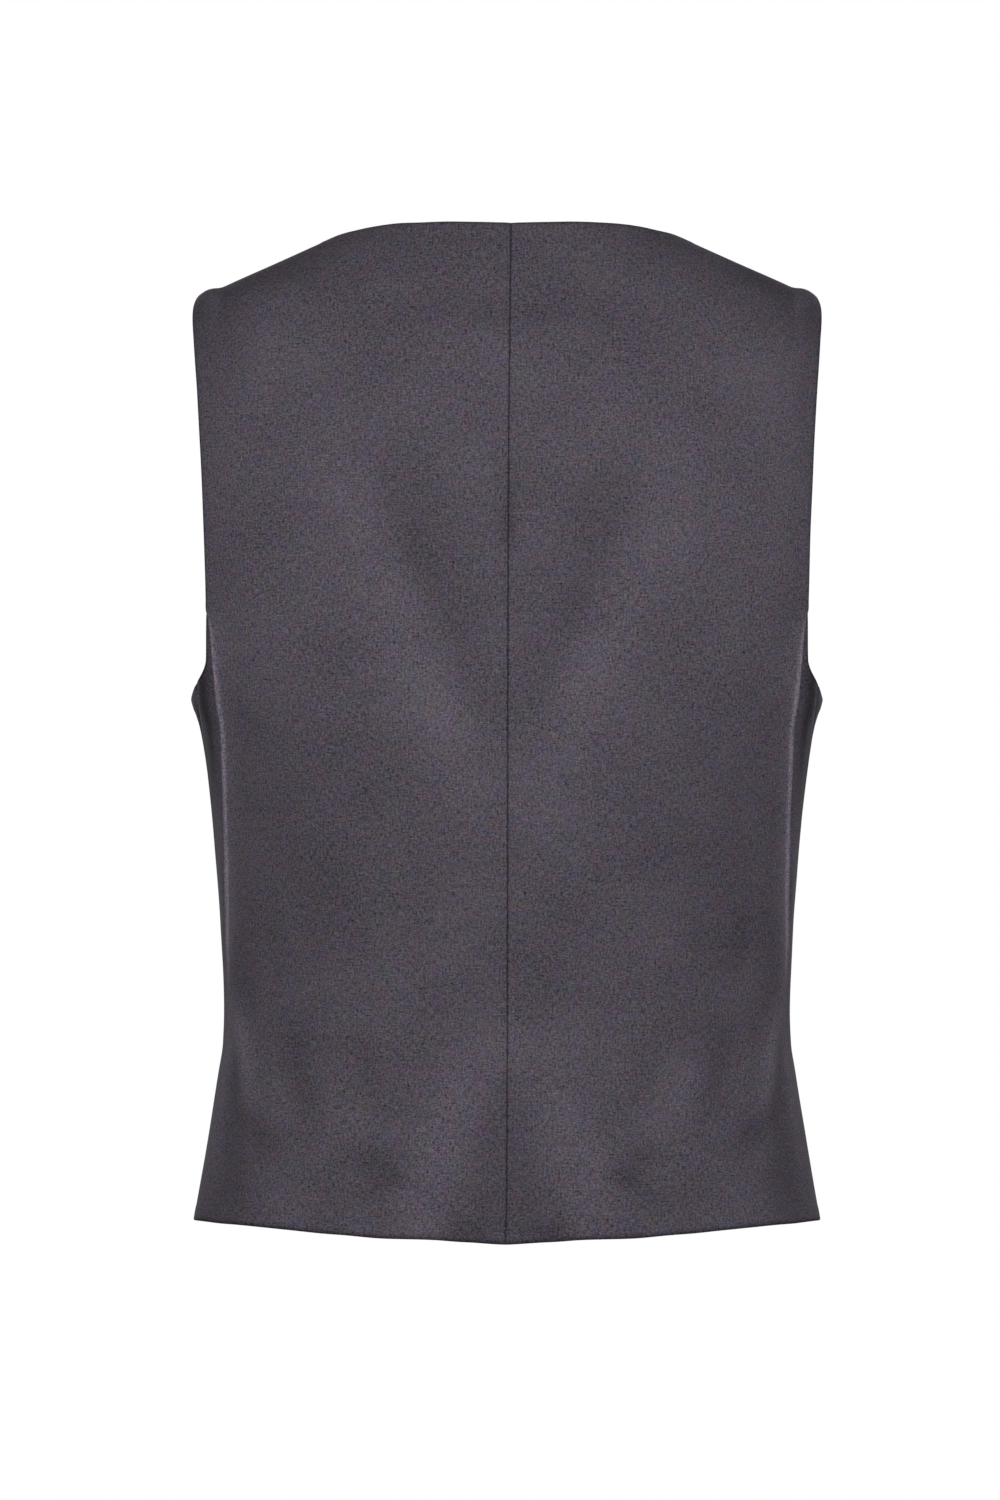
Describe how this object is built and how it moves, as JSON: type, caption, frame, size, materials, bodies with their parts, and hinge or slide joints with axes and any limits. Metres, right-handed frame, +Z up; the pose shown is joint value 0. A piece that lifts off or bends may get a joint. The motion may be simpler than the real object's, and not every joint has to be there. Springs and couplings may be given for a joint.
{
  "type": "suit waistcoat",
  "caption": "Hollow tailored suit waistcoat with a V neck, side bodies, a shaped waist and a buttoned lapped front, in the form it takes when worn.",
  "frame": {"origin": "where the wearer's shoulders hold the garment up: midway between the two shoulder seams, at the height of their middles", "axes": "+X towards the wearer's left, -Y towards the wearer's front, +Z up"},
  "size_m": [0.335, 0.2544, 0.5467],
  "materials": {
    "suiting": "melange worsted wool, matte with a faint nap",
    "button_resin": "polished resin with a soft sheen"
  },
  "bodies": {
    "root": {"back_left": "suiting", "back_right": "suiting", "side_left": "suiting", "side_right": "suiting", "front_left": "suiting", "front_right": "suiting", "button_1": "button_resin", "button_2": "button_resin", "button_3": "button_resin", "button_4": "button_resin", "button_5": "button_resin"}
  },
  "joints": []
}
